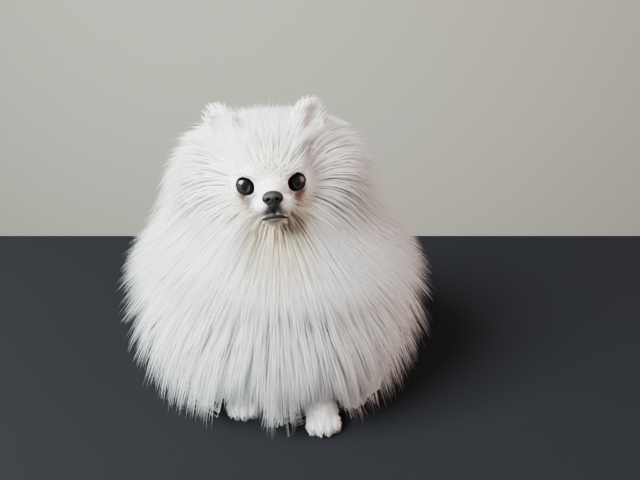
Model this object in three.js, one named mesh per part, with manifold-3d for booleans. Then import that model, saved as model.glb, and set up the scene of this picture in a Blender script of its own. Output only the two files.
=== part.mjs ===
// A sitting pomeranian at life size, in millimetres.
// +Z is up, the dog faces -Y and its left side is +X.
// The origin is the middle of the flat under its rump, on the floor.
// Each node's flesh and undercoat is a core that reaches at most half of the coat's depth.
// The long coat is flat, tapered locks that rise out of the cores and bend along the lie of the hair.
import * as THREE from "three";
import { mergeVertices } from "three/addons/utils/BufferGeometryUtils.js";
import Module from "manifold-3d";

const wasm = await Module();
wasm.setup();

const at = (x, y, z) => new THREE.Vector3(x, y, z);
const GAP = 0.3; // between nodes that touch
const SIDES = { left: 1, right: -1 };
const SIDE_NAMES = Object.keys(SIDES);

// The envelope that the tips of the coat reach: a bell from the chest down, the ruff, the tail's plume.
const BELL = { at: at(0, -38, 75), size: at(147, 130, 150) };
const RUFF = { at: at(0, -70, 208), size: at(91, 64, 70) };
const PLUME = { at: at(0, 12, 120), size: at(78, 84, 88) };
const ENVELOPE_BLEND = 30;

// Cores of flesh and undercoat.
const NECK = { at: at(0, -70, 176), size: at(62, 50, 44) };
const CHEST = { at: at(0, -66, 112), size: at(80, 64, 72) };
const BACK = { at: at(0, 0, 83), size: at(76, 64, 84) };
const THIGH = { at: at(58, -16, 52), size: at(40, 54, 48) };
const TAIL_PATH = [at(0, 50, 62), at(0, 64, 95), at(0, 60, 128), at(0, 46, 155)];
const TAIL_RADII = [11, 9.5, 8, 5.5];

// The head's own frame: its origin is half way between the eyes, and +Y runs to the back of the skull.
const EYE_LINE = at(0.5, -122, 225.5);
const HEAD_PITCH = -14; // degrees, nose up towards the viewer
const HEAD_YAW = 6;
const HEAD_ROLL = -3.2;
const SKULL = { at: at(0, 29, 5), size: at(35, 36, 33) };
const CHEEKS = { at: at(0, 37, 1), size: at(46, 31, 38) };
const BRIDGE = { at: at(0, -6, -6.5), size: at(9.5, 19, 8) };
const LIP = { at: at(6.2, -12, -14.5), size: at(8.6, 12.5, 8.2) };
const CHIN = { at: at(0, -8, -23.3), size: at(9.5, 12.5, 6.2) };
const NOSE = { at: at(0, -24.5, -10.2), size: at(8.2, 5.2, 5.7) };
const NOSTRIL = { at: at(3.4, -30.2, -10.2), size: at(1.7, 2.6, 1.3) };
const PHILTRUM = { width: 0.7, depth: 3, height: 5, at: at(0, -29.4, -13.6) };
const MOUTH = { drop: 21.5, halfWidth: 11.5, droop: 2.6, depth: 20 };
const EYE = { at: at(19.3, 6.8, 0), radius: 9 };
const LID = { opening: 7, thickness: 1.5, turn: 16, lift: 0.4 };
const EAR = { at: at(32, 19, 42), size: at(14, 6.5, 19), lean: 17, turn: 20 };
const EAR_CUP = { at: at(1, -6, 1), size: at(9, 6.5, 14) };

// Legs and feet.
const ELBOW = { left: at(38, -84, 66), right: at(-35, -82, 66) };
const WRIST = { left: at(38, -113, 25), right: at(-32, -98, 25) };
const HOCK = at(54, 14, 15);
const HIND_PAW = at(60, -66, 10);
const FEET = {
  forepaw_left: { at: at(39, -128, 11), turn: 8 },
  forepaw_right: { at: at(-33, -109, 11), turn: -8 },
  hindpaw_left: { at: HIND_PAW, turn: 12 },
  hindpaw_right: { at: at(-HIND_PAW.x, HIND_PAW.y, HIND_PAW.z), turn: -12 },
};
const PAW = { at: at(0, 3, 0), size: at(14, 17, 12) };
const TOE = { size: at(4.6, 7.5, 7.5), spread: 6.4, reach: 11, curve: 1.6, drop: 3.5 };
const TOES = 4;

// Locks of the coat.
const LOCK_STEPS = 4; // lengths that one lock bends in
const LOCK_SINK = 9; // how far a root runs into its core
const RISE_AT_ROOT = 0.86; // how steeply hair leaves the skin, as a sine
const RISE_AT_TIP = 0.34;
const FLOOR_CLEARANCE = 3;

const COAT_WHITE = new THREE.MeshStandardMaterial({ color: 0xf3f1ec, roughness: 0.9 });
const NOSE_LEATHER = new THREE.MeshStandardMaterial({ color: 0x3b3436, roughness: 0.45 });
const EYE_WET = new THREE.MeshStandardMaterial({ color: 0x0d0a0a, roughness: 0.05 });
const CLAW_HORN = new THREE.MeshStandardMaterial({ color: 0x4b4442, roughness: 0.4 });

const radians = THREE.MathUtils.degToRad;
const mirrored = (p, side) => at(p.x * SIDES[side], p.y, p.z);
const mirroredMass = (mass, side) => ({ at: mirrored(mass.at, side), size: mass.size });

// A repeatable stream of numbers from 0 to 1.
let seed = 15;
function random() {
  seed = (seed + 0x6d2b79f5) | 0;
  let mixed = Math.imul(seed ^ (seed >>> 15), 1 | seed);
  mixed = (mixed + Math.imul(mixed ^ (mixed >>> 7), 61 | mixed)) ^ mixed;
  return ((mixed ^ (mixed >>> 14)) >>> 0) / 4294967296;
}
const vary = (amount) => (random() * 2 - 1) * amount;

// A closed three.js geometry as a solid that can be joined and cut.
function solidOf(geometry) {
  const bare = geometry.index ? geometry.toNonIndexed() : geometry.clone();
  const points = new THREE.BufferGeometry();
  points.setAttribute("position", bare.getAttribute("position"));
  const merged = mergeVertices(points, 1e-3);
  const corners = [];
  const index = merged.index.array;
  for (let i = 0; i < index.length; i += 3) {
    const [a, b, c] = [index[i], index[i + 1], index[i + 2]];
    if (a !== b && b !== c && a !== c) corners.push(a, b, c);
  }
  const mesh = new wasm.Mesh({
    numProp: 3,
    vertProperties: merged.attributes.position.array,
    triVerts: new Uint32Array(corners),
  });
  return new wasm.Manifold(mesh);
}

const joined = (solids) => solids.reduce((whole, one) => whole.add(one));

// The corners of a mesh's largest closed surface, so that loose scraps and sealed hollows go.
function outerCorners({ vertProperties, triVerts }) {
  const leader = Array.from({ length: vertProperties.length / 3 }, (_, i) => i);
  const find = (i) => {
    while (leader[i] !== i) i = leader[i] = leader[leader[i]];
    return i;
  };
  for (let i = 0; i < triVerts.length; i += 3) {
    leader[find(triVerts[i + 1])] = find(triVerts[i]);
    leader[find(triVerts[i + 2])] = find(triVerts[i]);
  }
  const point = (i) => at(vertProperties[3 * i], vertProperties[3 * i + 1], vertProperties[3 * i + 2]);
  const surfaces = new Map();
  for (let i = 0; i < triVerts.length; i += 3) {
    const key = find(triVerts[i]);
    const surface = surfaces.get(key) ?? { volume: 0, corners: [] };
    const [a, b, c] = [point(triVerts[i]), point(triVerts[i + 1]), point(triVerts[i + 2])];
    surface.volume += a.dot(b.cross(c)) / 6;
    surface.corners.push(triVerts[i], triVerts[i + 1], triVerts[i + 2]);
    surfaces.set(key, surface);
  }
  return [...surfaces.values()].reduce((best, one) => (one.volume > best.volume ? one : best)).corners;
}

function meshOf(name, solid, material) {
  const surface = solid.getMesh();
  const geometry = new THREE.BufferGeometry();
  geometry.setAttribute("position", new THREE.BufferAttribute(surface.vertProperties, 3));
  geometry.setIndex(outerCorners(surface));
  geometry.computeVertexNormals();
  const mesh = new THREE.Mesh(geometry, material);
  mesh.name = name;
  return mesh;
}

// An ellipsoid with its poles along Z, or along Y when they face the front. grow widens it all round.
function ellipsoid(mass, around, rings, { poles = "top", grow = 0 } = {}) {
  const ball = new THREE.SphereGeometry(1, around, rings);
  if (poles === "top") ball.rotateX(Math.PI / 2);
  ball.scale(mass.size.x + grow, mass.size.y + grow, mass.size.z + grow);
  ball.translate(mass.at.x, mass.at.y, mass.at.z);
  return solidOf(ball);
}

// A limb from a to b with a round end of its own radius at each.
function limb(a, b, radiusA, radiusB, sides = 12, roundSteps = 2) {
  const length = a.distanceTo(b);
  const quarter = Array.from({ length: roundSteps + 1 }, (_, i) => (Math.PI / 2) * (i / roundSteps));
  const start = quarter.map((turn) => at(radiusA * Math.sin(turn), -radiusA * Math.cos(turn), 0));
  const end = quarter.map((turn) => at(radiusB * Math.cos(turn), length + radiusB * Math.sin(turn), 0));
  const profile = [...start, ...end].map((p) => new THREE.Vector2(p.x, p.y));
  profile[0].x = 0;
  profile[profile.length - 1].x = 0;
  const turned = new THREE.LatheGeometry(profile, sides);
  const along = b.clone().sub(a).normalize();
  turned.applyQuaternion(new THREE.Quaternion().setFromUnitVectors(at(0, 1, 0), along));
  turned.translate(a.x, a.y, a.z);
  return solidOf(turned);
}

// Everything below the floor.
function underFloor() {
  const reach = 1000;
  const block = new THREE.BoxGeometry(reach, reach, reach);
  block.translate(0, 0, -reach / 2);
  return solidOf(block);
}
const floor = underFloor();

const headFrame = new THREE.Matrix4().compose(
  EYE_LINE,
  new THREE.Quaternion().setFromEuler(
    new THREE.Euler(radians(HEAD_PITCH), radians(HEAD_ROLL), radians(HEAD_YAW), "ZXY"),
  ),
  at(1, 1, 1),
);
const headFrameBack = headFrame.clone().invert();
const fromHead = (p) => p.clone().applyMatrix4(headFrame);
const THROAT = fromHead(at(0, -6, -20)); // the coat of the body runs away from here

// Distance to an ellipsoid, negative inside.
function distanceTo(mass, p) {
  const d = p.clone().sub(mass.at).divide(mass.size);
  const slope = d.clone().divide(mass.size).length();
  return slope < 1e-9 ? -mass.size.x : (d.length() * (d.length() - 1)) / slope;
}
function blended(a, b, width) {
  const share = THREE.MathUtils.clamp(0.5 + (0.5 * (b - a)) / width, 0, 1);
  return THREE.MathUtils.lerp(b, a, share) - width * share * (1 - share);
}
const coatReach = (p) => blended(distanceTo(BELL, p), distanceTo(RUFF, p), ENVELOPE_BLEND);
const plumeReach = (p) => distanceTo(PLUME, p);

function gradient(field, p) {
  const step = 0.5;
  const slope = (axis) => {
    const shift = at(0, 0, 0).setComponent(axis, step);
    return field(p.clone().add(shift)) - field(p.clone().sub(shift));
  };
  return at(slope(0), slope(1), slope(2)).normalize();
}

// How near a place is to what the locks keep clear of: the forelegs, the forepaws and the face.
const FACE_ROOM = { at: fromHead(at(0, -26, -4)), radius: 33 };
function roomLeft(p) {
  const legs = SIDE_NAMES.map((side) => {
    const line = new THREE.Line3(FEET["forepaw_" + side].at.clone().add(at(0, -8, 0)), WRIST[side]);
    return line.closestPointToPoint(p, true, at(0, 0, 0)).distanceTo(p) - 20;
  });
  return Math.min(...legs, p.distanceTo(FACE_ROOM.at) - FACE_ROOM.radius);
}

// The run of one lock from its root: steep at first, then laid along the coat, to the envelope.
function hairPath(root, reach, lieAt, { most, rootRise = RISE_AT_ROOT, blocked = () => false }) {
  const step = 3;
  const depth = Math.max(-reach(root), 1);
  const points = [root.clone()];
  const p = root.clone();
  for (let run = 0; run < most && reach(p) < -1; run += step) {
    const out = gradient(reach, p);
    const height = THREE.MathUtils.clamp(1 + reach(p) / depth, 0, 1);
    const rise = THREE.MathUtils.lerp(rootRise, RISE_AT_TIP, height);
    const lie = lieAt(p);
    lie.addScaledVector(out, -lie.dot(out)).normalize();
    const way = out.multiplyScalar(rise).addScaledVector(lie, Math.sqrt(1 - rise * rise));
    const low = THREE.MathUtils.clamp((p.z - FLOOR_CLEARANCE) / 24, 0, 1);
    if (way.z < 0) way.z *= low;
    p.addScaledVector(way.normalize(), step);
    if (p.z < FLOOR_CLEARANCE || roomLeft(p) < 0 || blocked(p)) break;
    points.push(p.clone());
  }
  const back = points[0].clone().sub(points[Math.min(1, points.length - 1)]).normalize();
  points.unshift(root.clone().addScaledVector(back, LOCK_SINK));
  return points;
}

// A flat lock with a low ridge on its outer face: a three-sided cone bent along its path.
function lock(points, breadthAt, thickness, reach) {
  const path = new THREE.CatmullRomCurve3(points);
  const cone = new THREE.ConeGeometry(1, 1, 3, LOCK_STEPS);
  const corners = cone.getAttribute("position");
  for (let i = 0; i < corners.count; i++) {
    const t = corners.getY(i) + 0.5;
    const place = path.getPointAt(t);
    const along = path.getTangentAt(t);
    const side = along.clone().cross(gradient(reach, place)).normalize();
    const out = side.clone().cross(along);
    const narrowing = t < 1 ? 1 / (1 - t) : 0;
    const across = (corners.getX(i) * narrowing * breadthAt(t, place)) / Math.sqrt(3);
    const up = (corners.getZ(i) * narrowing * thickness * Math.min(1, 1.5 * (1 - t) + 0.2)) / 1.5;
    place.addScaledVector(side, across).addScaledVector(out, up);
    corners.setXYZ(i, place.x, place.y, place.z);
  }
  return solidOf(cone);
}

// A lock's outline along its length: full to the middle, then drawn in to a point.
const outline = (t) => (t < 0.5 ? 0.8 + 0.4 * t : Math.cos((Math.PI / 2) * ((t - 0.5) / 0.5)) ** 0.8);

// The body's cores, with the node that each belongs to.
const BODY_MASSES = [
  ["neck", NECK],
  ["torso", CHEST],
  ["torso", BACK],
  ...SIDE_NAMES.map((side) => ["thigh_" + side, mirroredMass(THIGH, side)]),
];
function nearestMass(p) {
  const ranked = BODY_MASSES.map(([node, mass]) => ({ node, distance: distanceTo(mass, p) }));
  return ranked.reduce((best, one) => (one.distance < best.distance ? one : best));
}

// Where the body's upright axis runs at a height: over the seat low down, under the head higher up.
const axisAt = (z) => at(0, THREE.MathUtils.lerp(-36, -70, THREE.MathUtils.smoothstep(z, 100, 190)), z);

// The outermost point of the cores in a direction round the upright axis. Turn 0 is the front.
function bodyRoot(turn, z) {
  const centre = axisAt(z);
  const way = at(Math.sin(turn), -Math.cos(turn), 0);
  for (let out = 150; out > 34; out -= 1) {
    const p = centre.clone().addScaledVector(way, out);
    const found = nearestMass(p);
    if (found.distance < 0) return { p, node: found.node };
  }
  return null;
}

const bodyLie = (p) => {
  const away = p.clone().sub(THROAT).normalize();
  return away.add(at(0, 0, -1.1));
};

// Rows of locks round the body, from the collar to the hem. tilt lifts a row at the back.
const ROWS = [
  { z: 192, tilt: 16, count: 13 },
  { z: 166, tilt: 10, count: 15 },
  { z: 138, tilt: 4, count: 16 },
  { z: 108, tilt: 0, count: 17 },
  { z: 76, tilt: 0, count: 17 },
  { z: 46, tilt: 0, count: 16 },
  { z: 24, tilt: 0, count: 14 },
];
const UNDER_TAIL = { halfTurn: radians(38), low: 52, high: 172 };

function bodyLocks() {
  const found = { neck: [], torso: [], thigh_left: [], thigh_right: [] };
  ROWS.forEach(({ z, tilt, count }, row) => {
    for (let i = 0; i < count; i++) {
      const turn = ((i + 0.5 * (row % 2) + vary(0.12)) / count) * 2 * Math.PI;
      const height = z - tilt * Math.cos(turn) + vary(3);
      const root = bodyRoot(turn, height);
      const fromBack = Math.abs(THREE.MathUtils.euclideanModulo(turn, 2 * Math.PI) - Math.PI);
      const covered = fromBack < UNDER_TAIL.halfTurn && height > UNDER_TAIL.low && height < UNDER_TAIL.high;
      if (!root || covered || insideHead(root.p)) continue;
      const path = hairPath(root.p, coatReach, bodyLie, { most: 105 + vary(6) });
      if (path.length < 7) continue;
      const breadthAt = (t, p) => {
        const axis = axisAt(p.z);
        const girth = 2 * Math.PI * Math.hypot(p.x - axis.x, p.y - axis.y);
        return Math.min((0.98 * girth) / count, 36) * outline(t);
      };
      found[root.node].push(lock(path, breadthAt, 5, coatReach));
    }
  });
  return found;
}

// The head as far as its undercoat.
const headCore = (grow = 0) =>
  ellipsoid(SKULL, 20, 14, { poles: "front", grow }).add(ellipsoid(CHEEKS, 14, 9, { poles: "front", grow }));
const muzzle = (grow = 0) => {
  const options = { poles: "front", grow };
  const lips = SIDE_NAMES.map((side) => ellipsoid(mirroredMass(LIP, side), 10, 7, options));
  return joined([ellipsoid(BRIDGE, 12, 8, options), ...lips, ellipsoid(CHIN, 10, 7, options)]);
};
function insideHead(p) {
  const inside = p.clone().applyMatrix4(headFrameBack);
  return Math.min(distanceTo(SKULL, inside), distanceTo(CHEEKS, inside)) < 3;
}

function eyeball(side, grow = 0) {
  const ball = new THREE.SphereGeometry(EYE.radius + grow, 12, 8);
  ball.rotateX(Math.PI / 2);
  const centre = mirrored(EYE.at, side);
  ball.translate(centre.x, centre.y, centre.z);
  return solidOf(ball);
}

// The lids: a rim round the opening that shows the eye.
function lidRing(side) {
  const ring = new THREE.TorusGeometry(LID.opening, LID.thickness, 4, 12);
  const front = Math.sqrt(EYE.radius ** 2 - LID.opening ** 2);
  ring.rotateX(Math.PI / 2);
  ring.translate(0, -front + LID.lift, 0);
  ring.rotateZ(radians(LID.turn) * SIDES[side]);
  const centre = mirrored(EYE.at, side);
  ring.translate(centre.x, centre.y, centre.z);
  return solidOf(ring);
}

// The line of the mouth: a thin bent wedge between the upper lips and the chin.
function mouthLine() {
  const { drop, halfWidth, droop, depth } = MOUTH;
  const bow = new THREE.Shape();
  bow.moveTo(-halfWidth, -droop);
  bow.quadraticCurveTo(-halfWidth / 2, 0.9, 0, 0.4);
  bow.quadraticCurveTo(halfWidth / 2, 0.9, halfWidth, -droop);
  bow.quadraticCurveTo(halfWidth / 2, -0.5, 0, -0.9);
  bow.quadraticCurveTo(-halfWidth / 2, -0.5, -halfWidth, -droop);
  const wedge = new THREE.ExtrudeGeometry(bow, { depth, bevelEnabled: false, curveSegments: 2 });
  wedge.rotateX(Math.PI / 2);
  wedge.translate(0, -9, 1 - drop);
  return solidOf(wedge);
}

// Nose leather: a rounded pad with a nostril at each side and a slit down to the lip.
const nosePad = (grow = 0) => ellipsoid(NOSE, 12, 8, { poles: "front", grow });
function noseSolid() {
  const slit = new THREE.BoxGeometry(PHILTRUM.width, PHILTRUM.depth, PHILTRUM.height);
  slit.translate(PHILTRUM.at.x, PHILTRUM.at.y, PHILTRUM.at.z);
  const nostrils = SIDE_NAMES.map((side) => ellipsoid(mirroredMass(NOSTRIL, side), 8, 6, { poles: "front" }));
  return nosePad().subtract(joined(nostrils)).subtract(solidOf(slit));
}

// An ear: a rounded upright leaf, hollowed from the front.
function earLeaf(side, grow = 0) {
  const leaf = ellipsoid({ at: at(0, 0, 0), size: EAR.size }, 12, 8, { grow });
  return leaf.transform(earFrame(side).elements);
}
function earFrame(side) {
  const turn = new THREE.Euler(0, radians(EAR.lean * SIDES[side]), radians(EAR.turn * SIDES[side]), "ZXY");
  const turned = new THREE.Quaternion().setFromEuler(turn);
  return new THREE.Matrix4().compose(mirrored(EAR.at, side), turned, at(1, 1, 1));
}
function earSolid(side) {
  const cup = ellipsoid(mirroredMass(EAR_CUP, side), 10, 6).transform(earFrame(side).elements);
  return earLeaf(side).subtract(cup).subtract(headCore(GAP));
}

// Rings of locks round the face: the crown, the cheeks and the nape.
const HEAD_CENTRE = at(0, 32, 4);
const HEAD_RINGS = [
  { from: 60, count: 13, most: 36 },
  { from: 86, count: 15, most: 50 },
  { from: 112, count: 12, most: 60 },
  { from: 138, count: 8, most: 60 },
];
function headRoot(from, round) {
  const way = at(Math.sin(from) * Math.sin(round), -Math.cos(from), Math.sin(from) * Math.cos(round));
  for (let out = 80; out > 5; out -= 1) {
    const p = HEAD_CENTRE.clone().addScaledVector(way, out);
    if (Math.min(distanceTo(SKULL, p), distanceTo(CHEEKS, p)) < 0) return p;
  }
  return HEAD_CENTRE.clone();
}
const nearEar = (p) => SIDE_NAMES.some((side) => p.distanceTo(mirrored(at(29, 21, 26), side)) < 17);
const headLie = (p) => {
  const away = p.clone().sub(fromHead(at(0, -24, -10))).normalize();
  return away.add(at(0, 0, -0.08));
};
function headLocks() {
  const locks = [];
  HEAD_RINGS.forEach(({ from, count, most }, ring) => {
    for (let i = 0; i < count; i++) {
      const round = ((i + 0.5 * (ring % 2) + vary(0.12)) / count) * 2 * Math.PI;
      const root = headRoot(radians(from + vary(3)), round);
      const world = fromHead(root);
      if (nearEar(root) || nearestMass(world).distance < 3) continue;
      const path = hairPath(world, coatReach, headLie, { most: most + vary(4), rootRise: 0.92 });
      if (path.length < 5) continue;
      const breadthAt = (t, p) => {
        const local = p.clone().applyMatrix4(headFrameBack).sub(HEAD_CENTRE);
        const girth = 2 * Math.PI * Math.hypot(local.x, local.z);
        return Math.min((0.95 * girth) / count, 24) * outline(t);
      };
      locks.push(lock(path, breadthAt, 4, coatReach).transform(headFrameBack.elements));
    }
  });
  return locks;
}
const headHair = joined(headLocks());
function headSolid() {
  let head = headCore().add(muzzle()).subtract(mouthLine()).add(headHair);
  for (const side of SIDE_NAMES) {
    head = head.add(lidRing(side)).subtract(eyeball(side, GAP)).subtract(earLeaf(side, GAP));
  }
  return head.subtract(nosePad(GAP));
}

// A paw with its toes, on small flats at the floor.
const pawFrame = (foot) => new THREE.Matrix4().makeRotationZ(radians(foot.turn)).setPosition(foot.at);
function toeCentres() {
  return Array.from({ length: TOES }, (_, i) => {
    const across = i - (TOES - 1) / 2;
    return at(across * TOE.spread, -TOE.reach + TOE.curve * across * across, -TOE.drop);
  });
}
function paw(foot, grow = 0) {
  const toes = toeCentres().map((toe) => ellipsoid({ at: toe, size: TOE.size }, 7, 5, { grow }));
  const pad = ellipsoid(PAW, 12, 7, { grow });
  return joined([pad, ...toes]).transform(pawFrame(foot).elements);
}
function claw(foot, toe) {
  const root = toe.clone().add(at(0, -5, 0)).applyMatrix4(pawFrame(foot));
  const tip = toe.clone().add(at(0, -10.5, -3)).applyMatrix4(pawFrame(foot));
  return limb(root, tip, 1.3, 0.45, 5, 2).subtract(paw(foot, GAP)).subtract(floor);
}
const foreleg = (side, grow = 0) => limb(ELBOW[side], WRIST[side], 15 + grow, 10.5 + grow, 14);
const hock = (side, grow = 0) =>
  limb(mirrored(HOCK, side), mirrored(HIND_PAW, side), 12 + grow, 10 + grow, 12);
const bothSides = (make, grow) => joined(SIDE_NAMES.map((side) => make(side, grow)));
const allPaws = (grow) => joined(Object.values(FEET).map((foot) => paw(foot, grow)));

// Cores of the body, widened by grow when they cut a neighbour.
const neckCore = (grow = 0) => ellipsoid(NECK, 16, 10, { grow });
const torsoCore = (grow = 0) => ellipsoid(CHEST, 18, 12, { grow }).add(ellipsoid(BACK, 18, 12, { grow }));
const thighCore = (side, grow = 0) => ellipsoid(mirroredMass(THIGH, side), 14, 9, { grow });
function tailCore(grow = 0) {
  const lengths = TAIL_PATH.slice(1).map((end, i) =>
    limb(TAIL_PATH[i], end, TAIL_RADII[i] + grow, TAIL_RADII[i + 1] + grow, 10),
  );
  return joined(lengths);
}

// The plume: locks that fan from the tail over the back.
const TAIL_ROOT = at(0, 40, 50);
const tailLie = (p) => p.clone().sub(TAIL_ROOT).normalize();
const TAIL_STATIONS = [0.15, 0.42, 0.7, 0.97];
const TAIL_FAN = [-72, -36, 0, 36, 72]; // degrees to either side of straight back
const inRuff = (p) => distanceTo(RUFF, p) < -4;
function plumeLocks() {
  const line = new THREE.CatmullRomCurve3(TAIL_PATH);
  const locks = [];
  TAIL_STATIONS.forEach((station, row) => {
    for (const degrees of TAIL_FAN) {
      const turn = radians(degrees + (row % 2 ? 10 : -6) + vary(4));
      const centre = line.getPointAt(station);
      const along = line.getTangentAt(station);
      const back = at(0, 1, 0).addScaledVector(along, -along.y).normalize();
      const way = back.multiplyScalar(Math.cos(turn)).add(at(Math.sin(turn), 0, 0));
      const root = centre.addScaledVector(way, TAIL_RADII[3] - 1);
      const lie = (p) => tailLie(p).addScaledVector(way, 1.1);
      const path = hairPath(root, plumeReach, lie, { most: 74 + vary(5), rootRise: 0.45, blocked: inRuff });
      if (path.length < 5) continue;
      locks.push(lock(path, (t) => 22 * outline(t) * (0.5 + 0.5 * t), 4, plumeReach));
    }
  });
  return locks;
}

const nodes = {};
for (const [name, foot] of Object.entries(FEET)) {
  nodes[name] = paw(foot).subtract(floor);
  toeCentres().forEach((toe, i) => {
    nodes["claw_" + name + "_" + (i + 1)] = claw(foot, toe);
  });
}
const headRoom = headCore(GAP).add(muzzle(GAP)).transform(headFrame.elements);
const earRoom = joined(SIDE_NAMES.map((side) => earLeaf(side, GAP))).transform(headFrame.elements);
const pawRoom = allPaws(GAP).add(bothSides(hock, GAP));
const legRoom = pawRoom.add(bothSides(foreleg, GAP));
for (const side of SIDE_NAMES) {
  nodes["hock_" + side] = hock(side).subtract(allPaws(GAP)).subtract(floor);
  nodes["foreleg_" + side] = foreleg(side).subtract(allPaws(GAP));
}

const locks = bodyLocks();
const thighRoom = bothSides(thighCore, GAP);
nodes.neck = neckCore()
  .add(joined(locks.neck))
  .subtract(torsoCore(GAP))
  .subtract(headRoom)
  .subtract(earRoom)
  .subtract(headHair.transform(headFrame.elements));
nodes.tail = tailCore()
  .add(joined(plumeLocks()))
  .subtract(torsoCore(GAP))
  .subtract(neckCore(GAP))
  .subtract(nodes.neck);
nodes.torso = torsoCore()
  .add(joined(locks.torso).subtract(neckCore(GAP)))
  .subtract(thighRoom)
  .subtract(legRoom)
  .subtract(headRoom)
  .subtract(tailCore(GAP))
  .subtract(floor);
for (const side of SIDE_NAMES) {
  const own = "thigh_" + side;
  const hair = joined(locks[own]).subtract(torsoCore(GAP));
  nodes[own] = thighCore(side).add(hair).subtract(legRoom).subtract(floor);
}

const head = new THREE.Group();
head.applyMatrix4(headFrame);
head.add(meshOf("head", headSolid(), COAT_WHITE));
head.add(meshOf("nose", noseSolid(), NOSE_LEATHER));
for (const side of SIDE_NAMES) {
  head.add(meshOf("eye_" + side, eyeball(side), EYE_WET));
  head.add(meshOf("ear_" + side, earSolid(side), COAT_WHITE));
}
const dog = new THREE.Group();
dog.add(head);
for (const [name, solid] of Object.entries(nodes)) {
  dog.add(meshOf(name, solid, name.startsWith("claw") ? CLAW_HORN : COAT_WHITE));
}
export default dog;
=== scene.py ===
# %% [markdown]
# # A sitting white pomeranian
# The looks of a small spitz dog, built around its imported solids. The solids give every place and size.
# Here one smooth skin takes the place of their flesh, and fine tufts of solid mesh take the place of
# their few large locks. Everything is in metres, +Z is up and the dog faces -Y.

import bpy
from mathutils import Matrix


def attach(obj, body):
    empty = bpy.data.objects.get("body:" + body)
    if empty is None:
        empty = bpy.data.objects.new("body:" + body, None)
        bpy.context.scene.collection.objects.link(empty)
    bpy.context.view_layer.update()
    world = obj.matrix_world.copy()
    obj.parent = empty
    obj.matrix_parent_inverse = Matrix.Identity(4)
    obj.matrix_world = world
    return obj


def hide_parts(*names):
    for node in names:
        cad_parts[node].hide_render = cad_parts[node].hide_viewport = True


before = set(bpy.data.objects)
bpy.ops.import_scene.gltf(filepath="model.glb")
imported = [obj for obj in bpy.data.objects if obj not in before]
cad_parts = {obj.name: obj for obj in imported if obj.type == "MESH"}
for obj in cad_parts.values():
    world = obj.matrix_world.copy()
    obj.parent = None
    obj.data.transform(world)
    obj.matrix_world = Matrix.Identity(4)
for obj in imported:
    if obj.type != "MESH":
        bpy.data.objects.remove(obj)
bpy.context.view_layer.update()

import math

import bpy
import numpy as np
import openvdb
from mathutils import Matrix, Vector
from mathutils.kdtree import KDTree

MM = 0.001
random = np.random.default_rng(5)


def mm(*numbers):
    return np.array(numbers, dtype=np.float32) * np.float32(MM)


# %% [markdown]
# ## The head's own frame
# The head looks up a little and is turned and tipped a little to one side, so its parts are placed in a
# frame of its own. The frame starts half way between the eyes and its +Y runs to the back of the skull.

# %% Turn of the head
EYE_LINE = mm(0.5, -122, 225.5)
PITCH, ROLL, YAW = (math.radians(angle) for angle in (-14, -3.2, 6))
turns = Matrix.Rotation(YAW, 3, "Z") @ Matrix.Rotation(PITCH, 3, "X") @ Matrix.Rotation(ROLL, 3, "Y")
HEAD_TURN = np.array(turns, dtype=np.float32)


def from_head(local):
    return np.asarray(local, dtype=np.float32) @ HEAD_TURN.T + EYE_LINE


def into_head(world):
    return (np.asarray(world, dtype=np.float32) - EYE_LINE) @ HEAD_TURN


# %% [markdown]
# ## Shapes as distances
# Flesh has no corners, so each mass is an ellipsoid or a tapered limb, given as a distance that is negative
# inside. Blending two distances gives the soft valley that skin makes between two muscles.

# %% Distances of the masses
def ellipsoid(p, centre, radii):
    d = (p - centre) / radii
    far = np.linalg.norm(d, axis=-1)
    slope = np.linalg.norm(d / radii, axis=-1) + 1e-6
    return far * (far - 1) / slope


def limb(p, a, b, radius_a, radius_b):
    along = b - a
    share = np.clip(((p - a) @ along) / (along @ along), 0, 1)
    nearest = a + share[..., None] * along
    return np.linalg.norm(p - nearest, axis=-1) - (radius_a + share * (radius_b - radius_a))


def blend(a, b, width):
    share = np.clip(0.5 + 0.5 * (b - a) / width, 0, 1)
    return b * (1 - share) + a * share - width * share * (1 - share)


def carve(a, b, width):
    return -blend(-a, b, width)


# %% [markdown]
# ## Where the flesh is
# Under the coat a pomeranian is a small dog: a skull about 65 mm wide, a neck as thick as a wrist, a deep
# chest and a round back. The muzzle is short and narrow. Muzzle, ears and feet follow the solids to within
# a millimetre. Cheeks and body are smaller than theirs, because the solids hold undercoat there too.

# %% Masses of the skin
SIDES = {"left": 1, "right": -1}


def mirrored(point, side):
    return point * np.array([SIDES[side], 1, 1], dtype=np.float32)


EYE_AT = mm(19.3, 6.8, 0)
EYE_RADIUS = 9 * MM
NOSE_AT = mm(0, -24.5, -10.2)
ELBOW = {"left": mm(38, -84, 66), "right": mm(-35, -82, 66)}
WRIST = {"left": mm(38, -113, 25), "right": mm(-32, -98, 25)}
HIND_PAW = mm(60, -66, 10)
HOCK = mm(54, 14, 15)
FEET = {
    "forepaw_left": (mm(39, -128, 11), 8),
    "forepaw_right": (mm(-33, -109, 11), -8),
    "hindpaw_left": (HIND_PAW, 12),
    "hindpaw_right": (mirrored(HIND_PAW, "right"), -12),
}
TOES = [mm(across * 6.4, -11 + 1.6 * across * across, -3.5) for across in (-1.5, -0.5, 0.5, 1.5)]
TAIL = [mm(0, 50, 62), mm(0, 64, 95), mm(0, 60, 128), mm(0, 46, 155)]
TAIL_RADII = [9 * MM, 8 * MM, 6.5 * MM, 4.5 * MM]


def turned(degrees):
    return np.array(Matrix.Rotation(math.radians(degrees), 3, "Z"), dtype=np.float32)


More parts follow.
